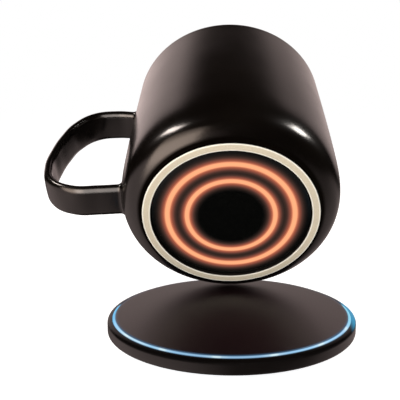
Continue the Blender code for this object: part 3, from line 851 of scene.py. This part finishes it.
def wall_radius(height):
    """Outer radius of the mug at a height."""
    wall = wall_outline()
    for upper, lower in zip(wall, wall[1:]):
        if lower.y <= height <= upper.y:
            share = (height - lower.y) / (upper.y - lower.y)
            return lower.x + (upper.x - lower.x) * share
    return wall[0].x


def make_mug_shell(material):
    inner = RIM_RADIUS - WALL
    floor = arc((inner - FLOOR_CORNER, FLOOR_TOP + FLOOR_CORNER), FLOOR_CORNER, -90, 0, 20)
    inner_lip = arc((inner + LIP_RADIUS, MUG_HEIGHT - LIP_RADIUS), LIP_RADIUS, 180, 90, 8)
    outer_lip = arc((RIM_RADIUS - LIP_RADIUS, MUG_HEIGHT - LIP_RADIUS), LIP_RADIUS, 90, 0, 8)
    wall = [Vector((inner, height)) for height in (40 * MM, 52 * MM, 64 * MM, 76 * MM)]
    bore = FOOT_INNER + 0.2 * MM
    groove = 2.5 * MM
    slit = FOOT_OUTER + 0.15 * MM
    underside = [
        (slit + 0.1 * MM, WALL_BOTTOM),
        (slit, 0.4 * MM),
        (slit, groove),
        (bore, groove),
        (bore, LEDGE_HEIGHT),
        (CAVITY_RADIUS, LEDGE_HEIGHT),
        (CAVITY_RADIUS, CAVITY_TOP),
        (0.0, CAVITY_TOP),
    ]
    flat = inner - FLOOR_CORNER
    floor_rings = [Vector((share * flat, FLOOR_TOP)) for share in (0.0, 0.35, 0.7)]
    outline = floor_rings + floor + wall + inner_lip + outer_lip + wall_outline()
    outline += [Vector(point) for point in underside]
    return turned("mug_shell", outline, material, MUG_PLACE)


def strap_line():
    """Points on the centre line of the handle, from the upper arm to the lower one."""
    curve = bpy.data.curves.new("strap_line", "CURVE")
    curve.dimensions = "3D"
    curve.resolution_u = CURVE_STEPS
    spline = curve.splines.new("BEZIER")
    spline.bezier_points.add(len(STRAP_REACH_AND_HEIGHT) - 1)
    for point, (reach, height) in zip(spline.bezier_points, STRAP_REACH_AND_HEIGHT):
        point.co = (reach, height, 0.0)
        point.handle_left_type = "AUTO"
        point.handle_right_type = "AUTO"
    guide = bpy.data.objects.new("strap_line", curve)
    bpy.context.scene.collection.objects.link(guide)
    bpy.context.view_layer.update()
    evaluated = guide.evaluated_get(bpy.context.evaluated_depsgraph_get())
    mesh = bpy.data.meshes.new_from_object(evaluated)
    points = [vertex.co.to_2d() for vertex in mesh.vertices]
    bpy.data.objects.remove(guide, do_unlink=True)
    bpy.data.meshes.remove(mesh)
    return points


def strap_section():
    """Outline of the strap across its length, each point with the direction that it faces."""
    half = STRAP_THICKNESS / 2
    wide = STRAP_WIDTH / 2
    flat = wide - STRAP_EDGE
    points = []
    for side in (1.0, -1.0):
        for step in range(FACE_STEPS + 1):
            across = flat * (1 - 2 * step / FACE_STEPS) * side
            crown = STRAP_CROWN * (1 - (across / flat) ** 2)
            points.append((Vector((side * (half + crown), across)), Vector((side, 0.0))))
        for step in range(1, EDGE_STEPS):
            angle = math.pi * step / EDGE_STEPS
            across = flat + STRAP_EDGE * math.sin(angle)
            spot = Vector((half * math.cos(angle) * side, -across * side))
            facing = Vector((math.cos(angle) / half, -math.sin(angle) / STRAP_EDGE)) * side
            points.append((spot, facing.normalized()))
    return points


def make_handle(material):
    """Strap swept along its centre line, flared into the wall by a fillet at both ends."""
    line = strap_line()
    section = strap_section()
    shape = bmesh.new()

    def beyond_wall(point):
        return point.x - wall_radius(point.y)

    inside = [index for index, point in enumerate(line) if beyond_wall(point) > FILLET_RUN]
    first, last = inside[0], inside[-1]
    rings = []

    def add_ring(centre, along, depth):
        """Ring round the centre; depth is how far it is from the wall, or None past the fillet."""
        out = Vector((-along.y, along.x))
        ring = []
        flare = 0.0
        if depth is not None and depth < FILLET:
            rest = FILLET - max(depth, 0.0)
            flare = FILLET - math.sqrt(max(FILLET * FILLET - rest * rest, 0.0))
        for point, facing in section:
            spot = point + facing * flare
            reach_height = centre + out * spot.x
            if depth is not None:
                wall = math.sqrt(wall_radius(reach_height.y) ** 2 - spot.y ** 2)
                share = min(max(depth / FILLET_RUN, 0.0), 1.0)
                share = share * share * (3 - 2 * share)
                reach_height.x = wall + depth + (reach_height.x - wall - depth) * share
            ring.append(shape.verts.new((-reach_height.x, spot.y, reach_height.y)))
        rings.append(ring)

    depths = [-EMBED]
    for step in range(FILLET_STEPS + 1):
        depths.append(FILLET * (1 - math.cos(math.radians(step * 90 / FILLET_STEPS))))
    for step in range(1, RUN_STEPS):
        depths.append(FILLET + (FILLET_RUN - FILLET) * step / RUN_STEPS)
    ends = []
    for index, neighbour in ((first, first + 1), (last, last - 1)):
        inward = (line[index] - line[neighbour]).normalized()
        foot = line[index] + inward * (beyond_wall(line[index]) / abs(inward.x))
        ends.append((foot, inward))
    foot, inward = ends[0]
    for depth in depths:
        add_ring(foot - inward * depth, -inward, depth)
    for index in range(first, last + 1):
        along = (line[min(index + 1, last)] - line[max(index - 1, first)]).normalized()
        add_ring(line[index], along, None)
    foot, inward = ends[1]
    for depth in reversed(depths):
        add_ring(foot - inward * depth, inward, depth)

    for ring, following in zip(rings, rings[1:]):
        for index in range(len(ring)):
            ahead = (index + 1) % len(ring)
            shape.faces.new((ring[index], ring[ahead], following[ahead], following[index]))
    shape.faces.new(rings[0])
    shape.faces.new(rings[-1])
    return finish_mesh("mug_handle", shape, material, MUG_PLACE, HANDLE_SHARP_ANGLE)


def make_foot(material):
    corners = [
        (FOOT_OUTER, FOOT_HEIGHT, FOOT_TOP_EDGE),
        (FOOT_OUTER, 0.0, FOOT_BEVEL),
        (FOOT_INNER, 0.0, FOOT_BEVEL),
        (FOOT_INNER, FOOT_HEIGHT, FOOT_TOP_EDGE),
    ]
    return turned("mug_foot_ring", rounded(corners, 8), material, MUG_PLACE)


def make_cover(material):
    """Recessed disc with a groove for each of its two lit rings."""
    depth = COVER_BOTTOM + GLOW_DEPTH + GAP
    half = GLOW_WIDTH / 2 + 0.04 * MM
    soft = 0.12 * MM
    outline = [Vector((0.0, COVER_TOP)), Vector((COVER_RADIUS, COVER_TOP))]
    edge = COVER_BOTTOM + soft
    outline += arc((COVER_RADIUS - soft, edge), soft, 0, -90, 4)
    for middle in (OUTER_GLOW, INNER_GLOW):
        outline += [
            Vector((middle + half, COVER_BOTTOM)),
            Vector((middle + half, depth)),
            Vector((middle - half, depth)),
            Vector((middle - half, COVER_BOTTOM)),
        ]
    outline.append(Vector((0.0, COVER_BOTTOM)))
    return turned("mug_cover", outline, material, MUG_PLACE)


def make_ring_light(name, middle, material):
    """Diffuser ring whose lit face is slightly crowned."""
    half = GLOW_WIDTH / 2
    top = COVER_BOTTOM + GLOW_DEPTH
    crown = 0.05 * MM
    steps = 8
    outline = [Vector((middle - half, top)), Vector((middle + half, top))]
    for step in range(steps + 1):
        across = half * (1 - 2 * step / steps)
        height = COVER_BOTTOM + crown - crown * (1 - (across / half) ** 2)
        outline.append(Vector((middle + across, height)))
    return turned(name, outline, material, MUG_PLACE)


def make_pad(material):
    """Anti-slip pad with a rounded edge and a shallow groove underneath."""
    edge = 0.25 * MM
    outline = [Vector((0.0, PAD_HEIGHT)), Vector((PAD_RADIUS, PAD_HEIGHT))]
    outline += arc((PAD_RADIUS - edge, edge), edge, 0, -90, 5)
    groove = PAD_RADIUS - 3.0 * MM
    for across, height in ((0.6, 0.0), (0.4, 0.2), (-0.4, 0.2), (-0.6, 0.0)):
        outline.append(Vector((groove + across * MM, height * MM)))
    outline.append(Vector((0.0, 0.0)))
    return turned("base_pad", outline, material)


def make_housing(material):
    lip_inner = LIGHT_OUTER + 0.08 * MM
    ledge = 4.3 * MM
    shoulder = (lip_inner + 0.35 * MM, LIP_TOP - 0.05 * MM)
    wall_top = (BASE_RADIUS, 4.4 * MM)
    wall_bottom = (BASE_RADIUS, 1.6 * MM)
    skirt = (48.1 * MM, HOUSING_BOTTOM)
    inside = [
        (0.0, FLOOR_HEIGHT),
        (BOARD_OUTER + GAP, FLOOR_HEIGHT),
        (BOARD_OUTER + GAP, ledge),
        (lip_inner, ledge),
        (lip_inner, LIP_TOP - 0.04 * MM),
        (lip_inner + 0.05 * MM, LIP_TOP),
        shoulder,
    ]
    side = bezier(shoulder, (48.9 * MM, LIP_TOP - 0.2 * MM), (BASE_RADIUS, 5.4 * MM), wall_top, 16)
    side.append(Vector(wall_bottom))
    side += bezier(wall_bottom, (BASE_RADIUS, 1.0 * MM), (48.9 * MM, 0.6 * MM), skirt, 10)
    underside = [
        (PAD_RADIUS + GAP, HOUSING_BOTTOM),
        (PAD_RADIUS + GAP, FLOOR_BOTTOM),
        (0.0, FLOOR_BOTTOM),
    ]
    outline = [Vector(point) for point in inside] + side + [Vector(point) for point in underside]
    housing = turned("base_housing", outline, material, sharp=HOUSING_SHARP_ANGLE)
    return cut_socket_opening(housing)


def slot_outline(width, height, steps):
    """Outline with round ends of a socket or its opening, in X and Z around its middle."""
    radius = height / 2
    flat = width / 2 - radius
    return arc((flat, 0.0), radius, 90, -90, steps) + arc((-flat, 0.0), radius, 270, 90, steps)


def extruded(name, outline, front, back, material, hollow=None):
    """Prism along Y; hollow gives the outline and the floor of a blind hole in its back end."""
    middle = SOCKET_BOTTOM + SOCKET_HEIGHT / 2
    shape = bmesh.new()

    def loop(points, y):
        return [shape.verts.new((x, y, middle + z)) for x, z in points]

    loops = [loop(outline, front), loop(outline, back)]
    if hollow:
        inner, floor = hollow
        loops += [loop(inner, back), loop(inner, floor)]
    for ring, following in zip(loops, loops[1:]):
        for index in range(len(ring)):
            ahead = (index + 1) % len(ring)
            shape.faces.new((ring[index], ring[ahead], following[ahead], following[index]))
    shape.faces.new(loops[0])
    shape.faces.new(loops[-1])
    return finish_mesh(name, shape, material)


def cut_socket_opening(housing):
    """Opening for the power socket, through the back of the side wall."""
    outline = slot_outline(SOCKET_WIDTH + 2 * GAP, SOCKET_HEIGHT + 2 * GAP, 12)
    front = SOCKET_FACE_Y - SOCKET_DEPTH - GAP
    outside = BASE_RADIUS + 2.0 * MM
    cutter = extruded("socket_cutter", outline, front, outside, housing.data.materials[0])
    opening = housing.modifiers.new("socket", "BOOLEAN")
    opening.object = cutter
    opening.solver = "EXACT"
    bpy.context.view_layer.update()
    evaluated = housing.evaluated_get(bpy.context.evaluated_depsgraph_get())
    mesh = bpy.data.meshes.new_from_object(evaluated)
    housing.modifiers.clear()
    housing.data = mesh
    bpy.data.objects.remove(cutter, do_unlink=True)
    mesh.shade_smooth()
    mesh.set_sharp_from_angle(angle=math.radians(HOUSING_SHARP_ANGLE))
    return housing


def make_plate(material):
    rebate = 5.6 * MM
    edge = 0.28 * MM
    outline = [
        Vector((0.0, PLATE_BOTTOM)),
        Vector((PLATE_STEP, PLATE_BOTTOM)),
        Vector((PLATE_STEP, rebate)),
        Vector((PLATE_RADIUS, rebate)),
    ]
    outline += arc((PLATE_RADIUS - edge, BASE_HEIGHT - edge), edge, 0, 90, 6)
    outline += [Vector((share * PLATE_RADIUS, BASE_HEIGHT)) for share in (0.97, 0.9, 0.6, 0.3)]
    outline.append(Vector((0.0, BASE_HEIGHT)))
    return turned("base_top", outline, material)


def make_light_guide(material):
    """Ring between plate and housing, its lit face a narrow slope that looks up and out."""
    inner = PLATE_RADIUS + 0.1 * MM
    chamfer = 0.06 * MM
    soft = 0.02 * MM
    flange = PLATE_STEP + GAP
    flange_bottom = 4.6 * MM
    flange_top = 5.3 * MM
    steps = 7
    outline = [
        Vector((inner, flange_top)),
        Vector((inner, LIGHT_TOP - soft)),
        Vector((inner + chamfer, LIGHT_TOP + soft)),
    ]
    for step in range(1, steps):
        share = step / steps
        crown = 0.06 * MM * math.sin(math.pi * share)
        across = inner + chamfer + (LIGHT_OUTER - inner - chamfer) * share
        outline.append(Vector((across, LIGHT_TOP - LIGHT_SLOPE * share + crown)))
    outline += [
        Vector((LIGHT_OUTER, LIGHT_TOP - LIGHT_SLOPE)),
        Vector((LIGHT_OUTER, flange_bottom)),
        Vector((flange, flange_bottom)),
        Vector((flange, flange_top)),
    ]
    return turned("base_light", outline, material)


def make_socket(metal, plastic, gold):
    """Power socket in the back of the base: a drawn metal shell round a tongue with contacts."""
    front = SOCKET_FACE_Y - SOCKET_DEPTH
    outer = slot_outline(SOCKET_WIDTH, SOCKET_HEIGHT, 12)
    inner = slot_outline(SOCKET_WIDTH - 2 * SHELL_WALL, SOCKET_HEIGHT - 2 * SHELL_WALL, 12)
    floor = front + 0.8 * MM
    shell = extruded("socket_shell", outer, front, SOCKET_FACE_Y, metal, (inner, floor))
    tip = SOCKET_FACE_Y - 0.6 * MM
    tongue = extruded("socket_tongue", slot_outline(*TONGUE_SIZE, 4), floor, tip, plastic)
    shape = bmesh.new()
    middle = SOCKET_BOTTOM + SOCKET_HEIGHT / 2
    size = Matrix.Diagonal((*CONTACT_SIZE, 1.0))
    for row in (-1.0, 1.0):
        for index in range(CONTACTS):
            x = (index - (CONTACTS - 1) / 2) * CONTACT_PITCH
            centre = Vector((x, tip - 1.6 * MM, middle + row * 0.36 * MM))
            bmesh.ops.create_cube(shape, size=1.0, matrix=Matrix.Translation(centre) @ size)
    contacts = finish_mesh("socket_contacts", shape, gold)
    return [shell, tongue, contacts]


# Putting it together


def hand_over(piece, body, node):
    """The piece rides on a body, and stands for a CAD node."""
    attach(piece, body)
    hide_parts(node)


def link_light(emitters, receivers, state):
    """With INCLUDE the emitters light only the receivers; with EXCLUDE all but the receivers."""
    group = bpy.data.collections.new("light_receivers")
    for receiver in receivers:
        group.objects.link(receiver)
    for member in group.collection_objects:
        member.light_linking.link_state = state
    for emitter in emitters:
        emitter.light_linking.receiver_collection = group


def make_mug():
    """The mug's pieces; the handle and the glowing ones are returned for their light linking."""
    light = ring_light()
    hand_over(make_mug_shell(glaze(WALL_UNEVENNESS)), "mug", "mug_body")
    handle = make_handle(glaze(HANDLE_UNEVENNESS))
    hand_over(handle, "mug", "handle")
    hand_over(make_foot(foot_rubber()), "mug", "foot_ring")
    cover = make_cover(smoked_cover())
    outer = make_ring_light("mug_outer_light", OUTER_GLOW, light)
    inner = make_ring_light("mug_inner_light", INNER_GLOW, light)
    hand_over(cover, "mug", "bottom_cover")
    hand_over(outer, "mug", "outer_glow_ring")
    hand_over(inner, "mug", "inner_glow_ring")
    return handle, (cover, outer, inner)


def make_base():
    """The base's outer pieces; the plate and the housing are returned for their light linking."""
    rubber = grained("pad_finish", (14, 14, 14), (22, 22, 21), 0.7, 1600.0, 0.02 * MM)
    metal = grained("socket_metal", (150, 150, 154), (186, 186, 190), 0.3, 900.0, 0.002 * MM, 1.0)
    plastic = grained("socket_plastic", (10, 10, 11), (18, 18, 19), 0.4, 1500.0)
    gold = grained("contact_gold", (196, 152, 74), (226, 184, 104), 0.25, 1500.0, 0.0, 1.0)
    hand_over(make_pad(rubber), "base", "anti_slip_pad")
    housing = make_housing(housing_finish())
    hand_over(housing, "base", "base_lower_housing")
    top = make_plate(plate_finish())
    hand_over(top, "base", "base_top_plate")
    hand_over(make_light_guide(light_guide()), "base", "base_light_ring")
    for piece in make_socket(metal, plastic, gold):
        hand_over(piece, "base", "usb_c_socket")
    return top, housing


def dress_inner_nodes():
    """Finishes of the CAD nodes that stay, all of them inside the mug or the base."""
    board = circuit_board()
    copper = grained("copper_wire", (150, 78, 40), (196, 112, 62), 0.28, 2400.0, 0.003 * MM, 1.0)
    ferrite = grained("ferrite_finish", (44, 44, 46), (66, 66, 68), 0.6, 1400.0, 0.02 * MM)
    chip = grained("chip_finish", (18, 18, 19), (30, 30, 31), 0.45, 2600.0, 0.01 * MM)
    led = grained("led_finish", (214, 212, 198), (240, 238, 226), 0.35, 1800.0, 0.005 * MM)
    steel = grained("steel_finish", (150, 150, 152), (184, 184, 186), 0.28, 1800.0, 0.003 * MM, 1.0)
    brushed = grained(
        "brushed_aluminium", (176, 177, 180), (206, 207, 210), 0.34, 900.0, 0.004 * MM, 1.0,
        (1.0, 12.0, 1.0),
    )
    film = grained("heater_film", (126, 62, 16), (166, 92, 30), 0.3, 420.0, 0.01 * MM)
    foam = grained("foam_finish", (112, 112, 114), (146, 146, 148), 0.9, 1100.0, 0.08 * MM)
    seal = grained("seal_finish", (112, 24, 18), (142, 36, 26), 0.6, 1300.0, 0.01 * MM)
    body = grained("component_finish", (126, 96, 62), (158, 124, 84), 0.45, 1900.0, 0.01 * MM)
    finishes = {
        "receiver_coil": copper,
        "transmitter_coil": copper,
        "receiver_ferrite": ferrite,
        "transmitter_ferrite": ferrite,
        "power_inductor": ferrite,
        "receiver_board": board,
        "control_board": board,
        "rectifier_chip": chip,
        "control_chip": chip,
        "driver_chip": chip,
        "thermistor": body,
        "capacitor_1": body,
        "capacitor_2": body,
        "insulating_pad": foam,
        "heating_element": film,
        "heat_spreader": brushed,
        "cover_seal": seal,
    }
    for name, node in frame["nodes"].items():
        finish = finishes.get(name)
        if name.startswith(("led_chip_", "ring_led_")):
            finish = led
        if name.startswith("housing_screw_"):
            finish = steel
        if finish:
            node.data.materials.clear()
            node.data.materials.append(finish)


make_camera()
make_world()
make_floor()
boxes = make_lamps()
strap, glowing = make_mug()
top_plate, housing = make_base()
link_light(glowing, [top_plate], "EXCLUDE")
link_light(boxes, [housing], "EXCLUDE")
make_handle_lamp(strap)
dress_inner_nodes()
bpy.context.scene.view_settings.view_transform = "Standard"
